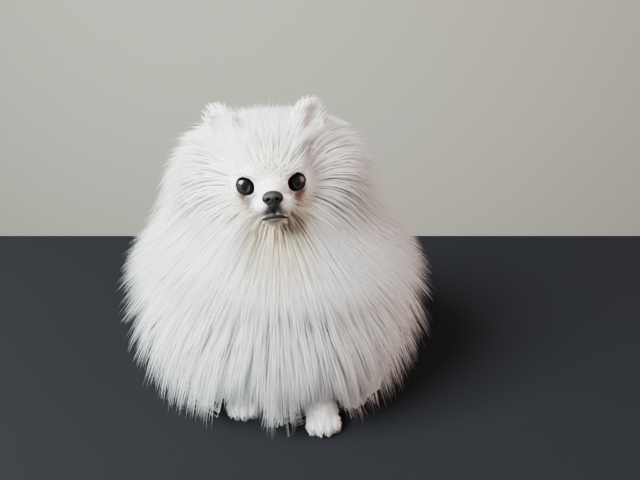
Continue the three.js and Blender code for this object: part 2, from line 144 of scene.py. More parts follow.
def head_distance(p):
    h = into_head(p)
    skull = ellipsoid(h, mm(0, 28, 6), mm(33, 37, 31))
    jowls = ellipsoid(h, mm(0, 24, -8), mm(31, 28, 22))
    head = blend(skull, jowls, 8 * MM)
    head = blend(head, ellipsoid(h, mm(0, -6, -6.5), mm(9.5, 19, 8)), 6 * MM)
    head = blend(head, ellipsoid(h, mm(0, -8, -23.3), mm(9.5, 12, 5.6)), 3 * MM)
    for side in SIDES:
        lip = ellipsoid(h, mirrored(mm(6, -12, -14.5), side), mm(8.4, 12, 7.4))
        brow = ellipsoid(h, mirrored(mm(13, 2, 9), side), mm(10, 8, 6))
        head = blend(blend(head, lip, 2.5 * MM), brow, 8 * MM)
    for side in SIDES:
        eye = mirrored(EYE_AT, side)
        from_eye = np.linalg.norm(h - eye, axis=-1)
        opening = ellipsoid(h, eye + mirrored(mm(-1.0, -8, 0.2), side), mm(7.5, 6.6, 7.0))
        head = blend(head, from_eye - 10.2 * MM, 3 * MM)
        head = carve(head, from_eye - 8.7 * MM, 0.6 * MM)
        head = carve(head, opening, 1 * MM)
    for side in SIDES:
        head = blend(head, ear_distance(h, side), 5 * MM)
    return head


def ear_distance(h, side):
    lean = np.array(Matrix.Rotation(math.radians(17 * SIDES[side]), 3, "Y"), dtype=np.float32)
    swing = np.array(Matrix.Rotation(math.radians(20 * SIDES[side]), 3, "Z"), dtype=np.float32)
    e = (h - mirrored(mm(32, 19, 42), side)) @ (swing @ lean)
    leaf = ellipsoid(e, mm(0, 0, 0), mm(13, 6, 18))
    cup = ellipsoid(e, mirrored(mm(1, -6, 1), side), mm(9, 6.5, 14))
    return carve(leaf, cup, 2 * MM)


def body_distance(p):
    body = limb(p, mm(0, -84, 205), mm(0, -74, 150), 30 * MM, 40 * MM)
    body = blend(body, ellipsoid(p, mm(0, -71, 118), mm(46, 42, 58)), 20 * MM)
    body = blend(body, limb(p, mm(0, -61, 110), mm(0, 2, 47), 45 * MM, 47 * MM), 20 * MM)
    for side in SIDES:
        thigh = ellipsoid(p, mirrored(mm(42, -18, 48), side), mm(24, 42, 40))
        body = blend(body, thigh, 12 * MM)
        body = blend(body, limb(p, ELBOW[side], WRIST[side], 14 * MM, 9 * MM), 8 * MM)
        body = blend(body, limb(p, mirrored(HOCK, side), mirrored(HIND_PAW, side), 11 * MM, 9 * MM), 6 * MM)
    for start, end, radius, next_radius in zip(TAIL, TAIL[1:], TAIL_RADII, TAIL_RADII[1:]):
        body = blend(body, limb(p, start, end, radius, next_radius), 5 * MM)
    return body


def feet_distance(p):
    feet = np.full(p.shape[:-1], 1.0, dtype=np.float32)
    for centre, degrees in FEET.values():
        f = (p - centre) @ turned(degrees)
        foot = ellipsoid(f, mm(0, 3, 0), mm(13.5, 17, 11.5))
        for toe in TOES:
            foot = blend(foot, ellipsoid(f, toe, mm(4.6, 7.6, 7.4)), 1.5 * MM)
        feet = np.minimum(feet, foot)
    return feet


def skin_distance(p):
    body = blend(body_distance(p), feet_distance(p), 4 * MM)
    body = blend(body, head_distance(p), 12 * MM)
    return np.maximum(body, 0.4 * MM - p[..., 2])


# %% [markdown]
# ## The skin
# Skin runs over the whole animal without a seam, so it is one surface, taken where the blended distance is
# nought. It is measured on a grid of 1.4 mm, which is finer than a toe's groove.

# %% Skin mesh
PITCH_OF_GRID = 1.4 * MM
low, high = mm(-88, -156, -3), mm(88, 78, 288)
counts = np.ceil((high - low) / PITCH_OF_GRID).astype(int)


def surface_of(distance, low, counts, step):
    values = np.empty(counts, dtype=np.float32)
    ys, zs = np.meshgrid(np.arange(counts[1]), np.arange(counts[2]), indexing="ij")
    for i in range(counts[0]):
        places = np.stack([np.full(ys.shape, i), ys, zs], axis=-1).astype(np.float32) * step + low
        values[i] = distance(places)
    grid = openvdb.FloatGrid(background=1.0)
    grid.copyFromArray(values)
    points, triangles, quads = grid.convertToPolygons(isovalue=0.0, adaptivity=0.0)
    faces = [list(map(int, quad[::-1])) for quad in quads] + [list(map(int, tri[::-1])) for tri in triangles]
    return points * step + low, faces


def smooth(piece):
    for polygon in piece.data.polygons:
        polygon.use_smooth = True


def mesh_object(name, points, faces, material):
    mesh = bpy.data.meshes.new(name)
    mesh.from_pydata([tuple(map(float, point)) for point in points], [], faces)
    mesh.validate()
    made = bpy.data.objects.new(name, mesh)
    bpy.context.collection.objects.link(made)
    mesh.materials.append(material)
    smooth(made)
    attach(made, "root")
    return made


skin_points, skin_faces = surface_of(skin_distance, low, counts, PITCH_OF_GRID)
print("skin", len(skin_points), "points")

# %% [markdown]
# ## Colours
# Paint and hair colours are written as they look on a screen, so one function turns them into the linear
# values that light is reckoned in. Another adds a shader node with its settings and its links.

# %% Colour and node helpers
def colour(code):
    shown = np.array([int(code[i : i + 2], 16) / 255 for i in (0, 2, 4)])
    linear = np.where(shown <= 0.04045, shown / 12.92, ((shown + 0.055) / 1.055) ** 2.4)
    return (*map(float, linear), 1.0)


def new_material(name):
    material = bpy.data.materials.new(name)
    material.use_nodes = True
    tree = material.node_tree
    return material, tree, tree.nodes["Principled BSDF"]


def node(tree, kind, links=(), values=(), **settings):
    made = tree.nodes.new(kind)
    for key, value in settings.items():
        setattr(made, key, value)
    for key, value in dict(values).items():
        made.inputs[key].default_value = value
    for key, source in dict(links).items():
        tree.links.new(source, made.inputs[key])
    return made


# %% [markdown]
# ## Markings and painted shade by place
# A white pomeranian isn't one white. Tears rust the hair below its eyes, the hair of the throat and jaw is
# creamy, the skin shows pink in its ears, and the lips and eye rims are nearly black.
# Some spots are painted shade: grey under the nose and round the mouth, a darker cream over the brow, and
# the throat's cream is also made darker as painted shade below the chin.
# Each spot is a soft ball in the head's frame, so skin and coat take the same colours from one place.
# Only the rim of an eye ends in a sharper edge.

# %% Marking and painted shade spots
SOFT_EDGE, RIM_EDGE = 0.4, 0.86


def spot(tree, base, centre, radius, code, strength, edge):
    place = node(tree, "ShaderNodeNewGeometry").outputs["Position"]
    far = node(tree, "ShaderNodeVectorMath", {0: place}, {1: tuple(map(float, centre))}, operation="DISTANCE")
    near = node(
        tree,
        "ShaderNodeMapRange",
        {"Value": far.outputs["Value"]},
        {"From Min": radius * edge, "From Max": radius, "To Min": strength, "To Max": 0.0},
        interpolation_type="SMOOTHSTEP",
    )
    mixed = node(
        tree,
        "ShaderNodeMix",
        {0: near.outputs["Result"], 6: base},
        {7: colour(code)},
        data_type="RGBA",
    )
    return mixed.outputs[2]


# Colours of the spots: the muzzle grey is painted shade, and both creams also serve as painted shade at
# throat and brow.
TEAR, CREAM_AND_SHADE, PALE_CREAM_AND_SHADE, MUZZLE_SHADE, RIM, EAR_PINK = "6f4c3d", "e2ceab", "e9dcc3", "5d5254", "1d1718", "efdccf"
MARKS_AND_PAINTED_SHADE = [
    # Throat: cream hair, made darker as painted shade below the chin.
    ((0, 2, -36), 36, CREAM_AND_SHADE, 0.9),
    ((0, 0, -54), 42, CREAM_AND_SHADE, 0.75),
    ((0, -10, -25), 13, PALE_CREAM_AND_SHADE, 0.7),
    # Brow: a faint cream tint that also darkens the forehead as painted shade.
    ((0, 2, 20), 26, PALE_CREAM_AND_SHADE, 0.75),
    # Painted shade: grey under the nose and round the line of the mouth.
    ((0, -25.5, -18.5), 9.5, MUZZLE_SHADE, 0.95),
    ((0, -20, -22.5), 13, MUZZLE_SHADE, 0.8),
]
for side, sign in SIDES.items():
    MARKS_AND_PAINTED_SHADE += [
        ((sign * 24, 8, -18), 20, CREAM_AND_SHADE, 0.6),
        ((sign * 20.5, -1, -10.5), 6, TEAR, 0.85),
        ((sign * 24, -2, -10.5), 9.5, TEAR, 0.95),
        ((sign * 13, -3, -6.5), 4.5, TEAR, 0.45),
        ((sign * 18.2, 0.3, 0.1), 8.9, RIM, 1.0),
        ((sign * 32, 12, 43), 12, EAR_PINK, 0.5),
    ]


def marked_and_shaded(tree, base):
    for centre, radius, code, strength in MARKS_AND_PAINTED_SHADE:
        edge = RIM_EDGE if code == RIM else SOFT_EDGE
        base = spot(tree, base, from_head(mm(*centre)), radius * MM, code, strength, edge)
    return base


# %% [markdown]
# ## Skin finish
# The skin of a white dog is pale pink under the coat. It is seen only where the hair is thinnest, on the
# muzzle and in the ears, so it takes the coat's white with its markings, its painted shade and a faint
# mottle.

# %% Skin material
skin_material, tree, shader = new_material("skin")
mottle = node(tree, "ShaderNodeTexNoise", values={"Scale": 220.0, "Detail": 3.0})
ramp = node(
    tree,
    "ShaderNodeMix",
    {0: mottle.outputs["Fac"]},
    {6: colour("efe6e1"), 7: colour("f6f3f0")},
    data_type="RGBA",
)
tree.links.new(marked_and_shaded(tree, ramp.outputs[2]), shader.inputs["Base Color"])
shader.inputs["Roughness"].default_value = 0.75
shader.inputs["Specular IOR Level"].default_value = 0.25

# %% [markdown]
# ## Skin object and its unwrap
# The skin is unwrapped once, by its own shape, onto a map for baking colours. Every tuft later
# takes its small patch of the map from the place where it is rooted.

# %% Skin object
skin = mesh_object("skin", skin_points, skin_faces, skin_material)
skin.data.uv_layers.new(name="OFBake")
bpy.context.view_layer.objects.active = skin
skin.select_set(True)
bpy.ops.object.mode_set(mode="EDIT")
bpy.ops.mesh.select_all(action="SELECT")
bpy.ops.uv.smart_project(angle_limit=math.radians(66), island_margin=0.002)
bpy.ops.object.mode_set(mode="OBJECT")
skin.select_set(False)
PAIRS = ("ear", "thigh", "hock", "hindpaw", "foreleg", "forepaw")
paired = [piece + "_" + side for side in SIDES for piece in PAIRS]
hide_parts("head", "neck", "torso", "tail", *paired)

# %% [markdown]
# ## Where hairs are rooted
# Roots are scattered over the skin in proportion to area and to how dense the hair has to be there. Each
# root keeps its place, the way the skin faces and its place on the unwrap.

# %% Scatter roots
corners = skin_points[np.array([face for face in skin_faces if len(face) == 4])]
crossed = np.cross(corners[:, 2] - corners[:, 0], corners[:, 3] - corners[:, 1])
areas = np.linalg.norm(crossed, axis=1) / 2
facing = crossed / (2 * areas[:, None] + 1e-12)
middles = corners.mean(axis=1)
outside = skin_distance(middles + facing * 2 * MM) > skin_distance(middles)
facing[~outside] *= -1
maps = np.empty(len(skin.data.loops) * 2, dtype=np.float32)
skin.data.uv_layers["OFBake"].data.foreach_get("uv", maps)
starts = np.array([p.loop_start for p in skin.data.polygons if p.loop_total == 4])
quad_maps = maps.reshape(-1, 2)[starts[:, None] + np.arange(4)]
places = np.empty(len(skin.data.vertices) * 3, dtype=np.float32)
skin.data.vertices.foreach_get("co", places)
loop_points = np.empty(len(skin.data.loops), dtype=np.int32)
skin.data.loops.foreach_get("vertex_index", loop_points)
quads = places.reshape(-1, 3)[loop_points[starts[:, None] + np.arange(4)]]
print("skin area", round(float(areas.sum()), 4), "m2")


def scatter(count, weight):
    chance = areas * weight
    faces = random.choice(len(areas), size=count, p=chance / chance.sum())
    u, v = random.random((2, count)).astype(np.float32)
    shares = np.stack([(1 - u) * (1 - v), u * (1 - v), u * v, (1 - u) * v], axis=1)
    places = (quads[faces] * shares[:, :, None]).sum(axis=1)
    patches = (quad_maps[faces] * shares[:, :, None]).sum(axis=1)
    return places, facing[faces].astype(np.float32), patches


# %% [markdown]
# ## How far the coat reaches
# A pomeranian's outer coat is long, straight and harsh, and a dense undercoat holds it off the body, so the
# tips meet in a smooth round outline: a bell from the shoulders down, the ruff, and the tail's plume.

# %% Reach of the coat
BELL = (mm(-3, -38, 75), mm(152, 131, 151))
RUFF = (mm(-1, -70, 208), mm(93, 65, 63))
PLUME = (mm(0, 12, 120), mm(78, 84, 88))


def way_out(p, mass):
    d = (p - mass[0]) / mass[1] ** 2
    return d / (np.linalg.norm(d, axis=-1, keepdims=True) + 1e-9)


def coat_reach(p):
    bell, ruff = ellipsoid(p, *BELL), ellipsoid(p, *RUFF)
    share = np.clip(0.5 + 0.5 * (ruff - bell) / (30 * MM), 0, 1)[..., None]
    out = way_out(p, BELL) * share + way_out(p, RUFF) * (1 - share)
    out /= np.linalg.norm(out, axis=-1, keepdims=True) + 1e-9
    return blend(bell, ruff, 30 * MM), out


def plume_reach(p):
    return ellipsoid(p, *PLUME), way_out(p, PLUME)


def unit(v):
    return v / (np.linalg.norm(v, axis=-1, keepdims=True) + 1e-9)


# %% [markdown]
# ## How long hair runs
# A long hair leaves the skin steeply and lies over as it nears the outline. Its lie runs away from the
# throat and down, so the hair fans out over the chest and hangs straight at the sides. On the head it lies
# back from the face. It parts round the forelegs, and near the floor it spreads outwards.

# %% Paths of long hair
THROAT = from_head(mm(0, -6, -20))
FACE_ROOM = from_head(mm(0, -34, -1))
STEP = 4 * MM
STEPS = 34


def room_left(p):
    room = np.linalg.norm(p - FACE_ROOM, axis=-1) - 27 * MM
    for side in SIDES:
        foot = FEET["forepaw_" + side][0]
        room = np.minimum(room, limb(p, foot, WRIST[side], 18 * MM, 15 * MM))
        room = np.minimum(room, limb(p, foot, foot + mm(0, -60, 8), 18 * MM, 28 * MM))
    return room


def long_paths(roots, reach, lie_at, rise_root, rise_tip, beyond):
    p = roots.copy()
    depth = np.maximum(-reach(p)[0], 3 * MM)
    paths = [p.copy()]
    length = np.zeros(len(p), dtype=np.float32)
    growing = np.ones(len(p), dtype=bool)
    for _ in range(STEPS):
        here, out = reach(p)
        height = np.clip(1 + here / depth, 0, 1)
        rise = (rise_root + (rise_tip - rise_root) * height)[:, None]
        lie = lie_at(p)
        lie = unit(lie - (lie * out).sum(axis=1, keepdims=True) * out)
        way = out * rise + lie * np.sqrt(1 - rise * rise)
        low = np.clip((p[:, 2] - 4 * MM) / (26 * MM), 0, 1)
        way[:, 2] = np.where(way[:, 2] < 0, way[:, 2] * low, way[:, 2])
        way = unit(way)
        growing &= (here < beyond) & (room_left(p) > 0)
        p = np.where(growing[:, None], p + way * STEP, p)
        length += growing * STEP
        paths.append(p.copy())
    return np.stack(paths, axis=1), length


def resampled(paths, length, rings):
    shares = np.linspace(0, 1, rings)
    along = np.minimum(shares[None] * length[:, None] / STEP, STEPS - 1e-3)
    index = along.astype(int)
    part = (along - index)[..., None]
    rows = np.arange(len(paths))[:, None]
    return paths[rows, index] * (1 - part) + paths[rows, np.minimum(index + 1, STEPS)] * part


# %% [markdown]
# ## One tuft
# A tuft is a closed blade with three sides, a few lengths long and drawn to a point: the least mesh that
# still bends and catches light as hair does. Thousands of them are made at once as rows of numbers. Their
# shading leans towards the way the whole coat faces, because hair shades as a mass and not blade by blade.

# %% Shape of the tufts
FLATNESS = 0.5
TWIST = 0.7


def blade_points(centres, widths, normals, reach, soft):
    count, rings, _ = centres.shape
    along = unit(np.gradient(centres, axis=1))
    side = unit(np.cross(along, unit(normals)[:, None, :] + 1e-4))
    up = np.cross(side, along)
    spread = random.normal(0, TWIST, (count, 1, 1)).astype(np.float32)
    across = side * np.cos(spread) + up * np.sin(spread)
    top = -side * np.sin(spread) + up * np.cos(spread)
    shape = np.array([[-0.5, 0], [0.5, 0], [0, 1]], dtype=np.float32)
    ring = centres[:, :-1, None, :]
    wide = widths[:, :-1, None, None]
    sideways = across[:, :-1, None] * shape[:, 0, None] * wide
    upwards = top[:, :-1, None] * shape[:, 1, None] * wide * FLATNESS
    body = ring + sideways + upwards
    points = np.concatenate([body.reshape(count, -1, 3), centres[:, -1:]], axis=1)
    radial = body - body.mean(axis=2, keepdims=True)
    shading = np.concatenate([unit(radial).reshape(count, -1, 3), along[:, -1:]], axis=1)
    outward = reach(points)[1] if reach else np.repeat(normals[:, None], points.shape[1], axis=1)
    return points, unit(shading * (1 - soft) + outward * soft)


def blade_faces(rings):
    faces = [[0, 1, 2]]
    for r in range(rings - 2):
        for s in range(3):
            a, b = 3 * r + s, 3 * r + (s + 1) % 3
            faces += [[a, b + 3, b], [a, a + 3, b + 3]]
    last = 3 * (rings - 2)
    faces += [[last + s, last + 3, last + (s + 1) % 3] for s in range(3)]
    return np.array(faces)


def outline(rings, fullest):
    t = np.linspace(0, 1, rings)
    return np.where(t < fullest, 0.7 + 0.3 * t / fullest, ((1 - t) / (1 - fullest)) ** 0.7).astype(np.float32)


# %% [markdown]
# ## Tufts as meshes
# A piece of coat stays under 190,000 triangles, so a coat is parted into several. Each tuft takes a patch of
# the unwrap, 0.003 across, from the place of its root, so that it bakes the colour of the skin's markings
# and painted shade there.

# %% Tuft meshes
TRIANGLES_PER_PIECE = 190000
PATCH = 0.003


def coat_piece(name, points, shading, maps, index, material):
    mesh = bpy.data.meshes.new(name)
    mesh.vertices.add(points.shape[0] * points.shape[1])
    mesh.vertices.foreach_set("co", points.reshape(-1).astype(np.float32))
    mesh.loops.add(index.size)
    mesh.loops.foreach_set("vertex_index", index.reshape(-1).astype(np.int32))
    mesh.polygons.add(len(index))
    mesh.polygons.foreach_set("loop_start", np.arange(0, index.size, 3, dtype=np.int32))
    mesh.polygons.foreach_set("loop_total", np.full(len(index), 3, dtype=np.int32))
    mesh.polygons.foreach_set("use_smooth", np.ones(len(index), dtype=bool))
    mesh.update(calc_edges=True)
    mesh.normals_split_custom_set_from_vertices(shading.reshape(-1, 3))
    uv = maps.reshape(-1, 2)[index.reshape(-1)]
    mesh.uv_layers.new(name="OFBake").data.foreach_set("uv", uv.reshape(-1).astype(np.float32))
    mesh.materials.append(material)
    tufts = bpy.data.objects.new(name, mesh)
    bpy.context.collection.objects.link(tufts)
    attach(tufts, "root")


def build_tufts(name, centres, widths, patches, normals, material, reach=None, soft=0.6):
    count, rings, _ = centres.shape
    points, shading = blade_points(centres, widths, normals, reach, soft)
    faces = blade_faces(rings)
    each = points.shape[1]
    heights = np.concatenate([np.repeat(np.linspace(0, 1, rings)[:-1], 3), [1]])
    sides = np.concatenate([np.tile([0.0, 0.5, 1.0], rings - 1), [0.5]])
    local = np.stack([sides - 0.5, heights - 0.5], axis=1) * PATCH
    per_piece = TRIANGLES_PER_PIECE // len(faces)
    for number, start in enumerate(range(0, count, per_piece)):
        part = slice(start, min(start + per_piece, count))
        size = part.stop - part.start
        index = (faces[None] + (np.arange(size) * each)[:, None, None]).reshape(-1, 3)
        maps = patches[part][:, None] + local[None]
        coat_piece(f"{name}_{number + 1}", points[part], shading[part], maps, index, material)
    print(name, count, "tufts", count * len(faces), "triangles")


# %% [markdown]
# ## Coat finish
# Each hair is a clear fibre full of air, so a white coat is soft and bright and scatters light from hair to
# hair. A little light therefore passes below the surface, and one tuft differs a little from the next.

# %% Coat material
coat_material, tree, shader = new_material("coat")
chance = node(tree, "ShaderNodeNewGeometry").outputs["Random Per Island"]
shade = node(tree, "ShaderNodeMix", {0: chance}, {6: colour("f1eeea"), 7: colour("fbfaf8")}, data_type="RGBA")
tree.links.new(marked_and_shaded(tree, shade.outputs[2]), shader.inputs["Base Color"])
shader.inputs["Roughness"].default_value = 0.62
shader.inputs["Specular IOR Level"].default_value = 0.3
shader.inputs["Sheen Weight"].default_value = 0.25
shader.inputs["Sheen Roughness"].default_value = 0.5
shader.inputs["Subsurface Weight"].default_value = 0.35
shader.inputs["Subsurface Radius"].default_value = (1.0, 1.0, 1.0)
shader.inputs["Subsurface Scale"].default_value = 2 * MM

# %% [markdown]
# ## Which hair grows where
# The head carries short hair on the muzzle and round the eyes, which lengthens over the brow and runs into
# the crown and the cheeks. Feet and forearms carry short hair. Everything else carries the long coat, which
# begins where the short hair is 13 to 28 mm long, so the two mix there and no edge shows between them.

# %% Regions and lengths
LID_REACH = 10.7 * MM


def spans(value, ins, outs):
    return np.interp(value, np.array(ins) * MM, np.array(outs) * MM).astype(np.float32)


def face_length(p):
    h = into_head(p)
    from_nose = np.linalg.norm(h - mm(0, -16, -8), axis=-1)
    middle = spans(from_nose, [8, 14, 21, 27, 33, 39, 46], [1.6, 2.6, 5, 10, 17, 28, 200])
    cheek = spans(from_nose, [8, 13, 18, 23, 28, 35], [2.2, 4.5, 9, 17, 28, 200])
    aside = np.clip((np.abs(h[..., 0]) - 7 * MM) / (8 * MM), 0, 1)
    length = middle * (1 - aside) + cheek * aside
    for side in SIDES:
        from_eye = np.linalg.norm(h - mirrored(EYE_AT, side), axis=-1)
        length = np.minimum(length, spans(from_eye, [9.6, 11.5, 14, 18, 22, 26], [1, 2.4, 6, 13, 24, 200]))
        in_ear = ear_distance(h, side)
        ear = spans(np.maximum(in_ear, 0), [0.5, 2.5, 5], [6.5, 9.5, 200])
        ear = np.where(h[..., 2] > 33 * MM, ear, 200 * MM)
        length = np.minimum(length, ear)
    return length


def foot_length(p):
    near_foot = feet_distance(p)
    length = spans(np.maximum(near_foot, 0), [0.5, 4, 12, 24], [4.2, 6, 12, 200])
    for side in SIDES:
        forearm = limb(p, ELBOW[side], WRIST[side], 12 * MM, 9 * MM)
        length = np.minimum(length, spans(np.maximum(forearm, 0), [5, 12], [14, 200]))
    return length


def is_open(p, facing_way):
    """False in the eyes, on the nose leather, on the line of the mouth and on the flat under the rump."""
    h = into_head(p)
    keep = np.linalg.norm((h - NOSE_AT) / mm(8.6, 5.6, 6.1), axis=-1) > 1
    keep &= p[:, 2] > 1.2 * MM
    keep &= ~((facing_way[:, 2] < -0.8) & (p[:, 2] < 14 * MM))
    above_lips = h[:, 2] - spans(np.abs(h[:, 0]), [0, 5, 10, 13], [-22.8, -22.8, -24.4, -26])
    keep &= ~((np.abs(above_lips - 0.8 * MM) < 2 * MM) & (np.abs(h[:, 0]) < 12 * MM) & (h[:, 1] < -5 * MM))
    for side in SIDES:
        keep &= np.linalg.norm(h - mirrored(EYE_AT, side), axis=-1) > LID_REACH
    return keep


def on_tail(p):
    near = np.full(len(p), 1.0, dtype=np.float32)
    for start, end, radius, next_radius in zip(TAIL, TAIL[1:], TAIL_RADII, TAIL_RADII[1:]):
        near = np.minimum(near, limb(p, start, end, radius, next_radius))
    return (near < 2 * MM) & (p[:, 1] > 48 * MM)


short_at = np.minimum(face_length(middles), foot_length(middles))
is_short = short_at < 28 * MM
is_tail = on_tail(middles)

# %% [markdown]
# ## Clumps
# Long hair never hangs singly. Neighbours cling and end in one point, which gives the coat its streaks and
# its ragged hem. Some roots are leaders, and each tuft leans towards its nearest leader as it nears its tip.
# The long hair of the head stands apart, so there it isn't clumped.

# %% Clumping
def nearest_leader(roots, leaders):
    tree = KDTree(len(leaders))
    for i, place in enumerate(roots[leaders]):
        tree.insert(place, i)
    tree.balance()
    return leaders[np.array([tree.find(place)[1] for place in roots])]


def clumped(paths, roots, every, pull, sway, calm=1.0):
    count, rings, _ = paths.shape
    leaders = random.choice(count, size=max(count // every, 1), replace=False)
    leader = nearest_leader(roots, leaders)
    t = np.linspace(0, 1, rings, dtype=np.float32)[None, :, None]
    strength = random.uniform(*pull, count).astype(np.float32)[leader][:, None, None]
    drift = random.normal(0, sway, (count, 3)).astype(np.float32)[leader][:, None, :]
    own = random.normal(0, sway * 0.35, (count, 3)).astype(np.float32)[:, None, :]
    calm = np.reshape(calm, (-1, 1, 1))
    share = strength * t**1.3 * calm
    return paths * (1 - share) + paths[leader] * share + (drift * t**2 + own * t**1.5) * calm


# %% [markdown]
# ## The long coat
# The undercoat is dense, woolly and a little shorter than the outline. It is made first, of broader tufts
# that hold together and close the gaps. The outer coat is straight and fine and ends at the outline, with a
# few stray hairs beyond it.

# %% Long coat of the body and the ruff
FULL = 42000
ROOT_RISE, TIP_RISE, HEAD_CALM = 0.86, 0.30, 0.36
SWAY = 2.3 * MM


def body_lie(p):
    from_face = unit(p - from_head(mm(0, -24, -10)))
    from_skull = np.linalg.norm(p - from_head(mm(0, 26, 6)), axis=-1)
    upper = np.clip(1.25 - from_skull / (70 * MM), 0, 1)[:, None]
    hanging = unit(p - THROAT) + np.array([0, 0, -1.15], dtype=np.float32)
    upright = from_face + np.array([0, 0, 0.15], dtype=np.float32)
    return hanging * (1 - upper) + upright * upper


def near_head(p):
    from_skull = np.linalg.norm(p - from_head(mm(0, 26, 6)), axis=-1)
    return np.clip((72 * MM - from_skull) / (16 * MM), 0, 1)


def long_coat(name, count, ends, thick, clump, pull, soft, rings, at_head, begins):
    """Makes one layer: ends in mm past the outline, thick in mm, begins at that length of the face's hair."""
    weight = np.where((short_at < begins * MM) | is_tail, 0.0, 1.0 + at_head * near_head(middles))
    roots, ways, patches = scatter(count, weight)
    keep = is_open(roots, ways)
    roots, ways, patches = roots[keep], ways[keep], patches[keep]
    beyond = random.uniform(*ends, len(roots)).astype(np.float32) * MM
    rise = ROOT_RISE - HEAD_CALM * near_head(roots)
    paths, length = long_paths(roots, coat_reach, body_lie, rise, TIP_RISE, beyond)
    length *= random.uniform(0.7, 1.0, len(roots)) ** 0.5
    calm = 1 - near_head(roots)
    centres = clumped(resampled(paths, length, rings), roots, clump, pull, SWAY, calm)
    centres[:, :, 2] = np.maximum(centres[:, :, 2], 1.5 * MM)
    whole = (length > 6 * MM) & (coat_reach(centres[:, -1])[0] < beyond + 5 * MM)
    finer = (1 - 0.3 * near_head(roots))[:, None]
    own = random.uniform(*thick, (len(roots), 1)).astype(np.float32)
    widths = outline(rings, 0.5)[None] * own * finer * MM
    kept = [rows[whole] for rows in (centres, widths, patches, ways)]
    build_tufts(name, *kept, coat_material, reach=coat_reach, soft=soft)


long_coat(
    "coat_under", FULL * 3 // 8, ends=(-15, -4), thick=(1.5, 2.3), clump=4, pull=(0.0, 0.3),
    soft=0.9, rings=4, at_head=14.0, begins=13,
)
long_coat(
    "coat_outer", FULL * 6 // 5, ends=(-5, 7), thick=(0.4, 0.74), clump=8, pull=(0.05, 0.6),
    soft=0.85, rings=4, at_head=9.0, begins=18,
)
long_coat(
    "coat_stray", FULL // 24, ends=(4, 12), thick=(0.28, 0.42), clump=2, pull=(0.0, 0.3),
    soft=0.5, rings=5, at_head=5.0, begins=28,
)

# %% [markdown]
# ## The plume
# A pomeranian carries its tail flat over its back, with hair that fans out to both sides of it.

# %% Plume of the tail
PLUME_RINGS = 5
roots, ways, patches = scatter(FULL // 11, np.where(is_tail, 1.0, 0.0))
tail_root = mm(0, 40, 50)
beyond = (-8 * random.random(len(roots)) ** 1.6 * MM).astype(np.float32)
spread = ways * np.array([1.2, 0.6, 0.2], dtype=np.float32)
paths, length = long_paths(roots, plume_reach, lambda p: unit(p - tail_root) + spread, 0.5, TIP_RISE, beyond)
centres = clumped(resampled(paths, length, PLUME_RINGS), roots, 12, (0.2, 0.9), 2.4 * MM)
own = random.uniform(0.7, 1.2, (len(roots), 1)).astype(np.float32)
widths = outline(PLUME_RINGS, 0.45)[None] * own * MM
build_tufts("coat_plume", centres, widths, patches, ways, coat_material, reach=plume_reach, soft=0.65)

# %% [markdown]
# ## Hair and the eyes
# No hair of a dog lies over its open eye, because the lids carry it aside. So the points of each tuft are
# moved out of a round window before the eye, and a tuft that still crosses the window is left out.

# %% Clear windows before the eyes
WINDOW_AT = mm(18.2, 0, 0.1)
WINDOW, CROSSED, WINDOW_DEPTH = 7.9 * MM, 7.3 * MM, 14 * MM


def clear_of_eyes(p):
    h = into_head(p)
    for side in SIDES:
        across = (h - mirrored(WINDOW_AT, side)) * np.array([1, 0, 1], dtype=np.float32)
        far = np.linalg.norm(across, axis=-1, keepdims=True) + 1e-6
        near = (far < WINDOW) & (h[..., 1:2] < WINDOW_DEPTH)
        h = np.where(near, h + across * (WINDOW / far - 1), h)
    return from_head(h)


def crosses_eye(p):
    h = into_head((p[:, :-1] + p[:, 1:]) / 2)
    crosses = np.zeros(len(p), dtype=bool)
    for side in SIDES:
        across = (h - mirrored(WINDOW_AT, side))[..., [0, 2]]
        near = (np.linalg.norm(across, axis=-1) < CROSSED) & (h[..., 1] < WINDOW_DEPTH)
        crosses |= near.any(axis=1)
    return crosses


# %% [markdown]
# ## Short hair
# Hair on the face lies back from the nose, flat on the muzzle and more upright over the brow. On the feet it
# points down and forward over the toes. The longer it is, the more it stands and the broader its tufts are.

# %% Short coat of the face and the feet
SHORT_RINGS = 4
LONGEST, LONGEST_BY_EAR = 34, 13

roots, ways, patches = scatter(FULL * 7 // 16, np.where(is_short, 1 / np.clip(short_at, 3 * MM, 6 * MM), 0.0))
keep = is_open(roots, ways)
roots, ways, patches = roots[keep], ways[keep], patches[keep]
uneven = random.uniform(0.75, 1.15, len(roots)).astype(np.float32)
lengths = np.minimum(face_length(roots), foot_length(roots)) * uneven
longest = np.where(into_head(roots)[:, 2] > 33 * MM, LONGEST_BY_EAR, LONGEST) * MM
lengths = np.minimum(lengths, longest)
on_foot = roots[:, 2] < 110 * MM
back = unit(roots - from_head(mm(0, -27, -9)))
back = np.where(on_foot[:, None], np.array([0, -0.55, -0.8], dtype=np.float32), back)
lie = unit(back - (back * ways).sum(axis=1, keepdims=True) * ways)
rise = np.interp(lengths, [2 * MM, 6 * MM, 14 * MM, 26 * MM], [0.3, 0.42, 0.54, 0.62])
rise = np.where(on_foot[:, None], 0.4, rise.astype(np.float32)[:, None])
way = ways * rise + lie * np.sqrt(1 - rise**2)
way = unit(way + random.normal(0, 0.1, way.shape).astype(np.float32))
t = np.linspace(0, 1, SHORT_RINGS, dtype=np.float32)[None, :, None]
centres = roots[:, None] + (way[:, None] * t + lie[:, None] * 0.35 * t**2) * lengths[:, None, None]
centres = clumped(centres, roots, 7, (0.0, 0.3), 0.3 * MM)
centres -= ways[:, None] * 0.4 * MM * (1 - t)
centres[:, :, 2] = np.maximum(centres[:, :, 2], 0.8 * MM)
centres = clear_of_eyes(centres)
thick = spans(lengths, [1, 4, 10, 30], [0.34, 0.55, 0.8, 1.1])
own = random.uniform(0.8, 1.2, (len(roots), 1)).astype(np.float32)
